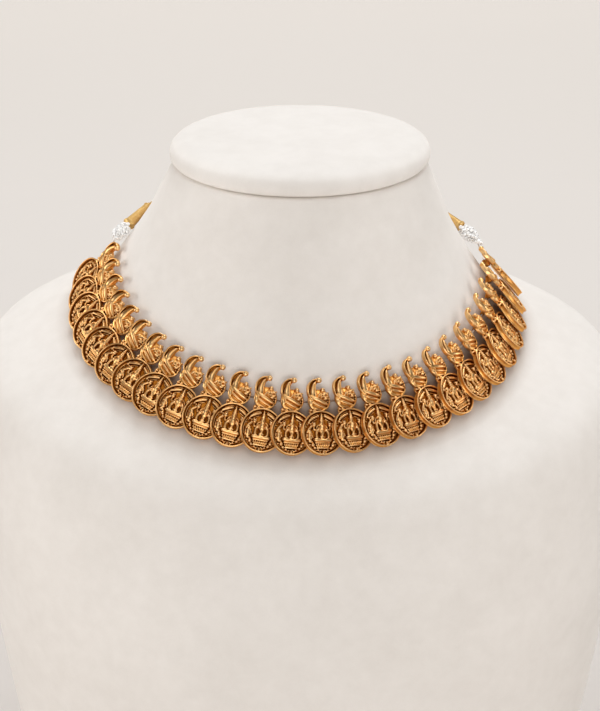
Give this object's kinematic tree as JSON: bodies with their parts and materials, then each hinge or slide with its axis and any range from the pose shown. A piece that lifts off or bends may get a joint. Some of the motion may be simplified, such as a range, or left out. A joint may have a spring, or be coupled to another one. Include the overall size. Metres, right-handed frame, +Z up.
{
  "type": "temple jewellery necklace on a neck bust",
  "caption": "Antique gold collar of overlapping cast units, each a curled motif over an oval medallion with a seated figure, strung round a plain cream neck bust.",
  "frame": {"origin": "middle of the neck bust's flat base", "axes": "+Z up, the front of the necklace faces -Y, +X to the right as the picture shows it"},
  "size_m": [0.284, 0.196, 0.31],
  "materials": {
    "antique_gold": "cast, polished on the high places, dark in the hollows",
    "gold_winding": "wound metallic thread",
    "gold_cord": "twisted metallic cord",
    "seed_beads": "glossy white seed beads",
    "white_thread": "plain thread",
    "bust_velvet": "matt, fine flocked surface",
    "cap_velvet": "matt, fine flocked surface"
  },
  "bodies": {
    "root": {"display_bust": "bust_velvet", "bust_cap": "cap_velvet", "string_thread": "white_thread", "back_cord": "gold_cord", "cord_slider": "gold_cord", "bead_bunch_left": "seed_beads", "bead_bunch_right": "seed_beads", "cone_left": "gold_winding", "cone_right": "gold_winding", "unit_01": "antique_gold", "unit_02": "antique_gold", "unit_03": "antique_gold", "unit_04": "antique_gold", "unit_05": "antique_gold", "unit_06": "antique_gold", "unit_07": "antique_gold", "unit_08": "antique_gold", "unit_09": "antique_gold", "unit_10": "antique_gold", "unit_11": "antique_gold", "unit_12": "antique_gold", "unit_13": "antique_gold", "unit_14": "antique_gold", "unit_15": "antique_gold", "unit_16": "antique_gold", "unit_17": "antique_gold", "unit_18": "antique_gold", "unit_19": "antique_gold", "unit_20": "antique_gold", "unit_21": "antique_gold", "unit_22": "antique_gold", "unit_23": "antique_gold", "unit_24": "antique_gold", "unit_25": "antique_gold", "unit_26": "antique_gold"}
  },
  "joints": []
}
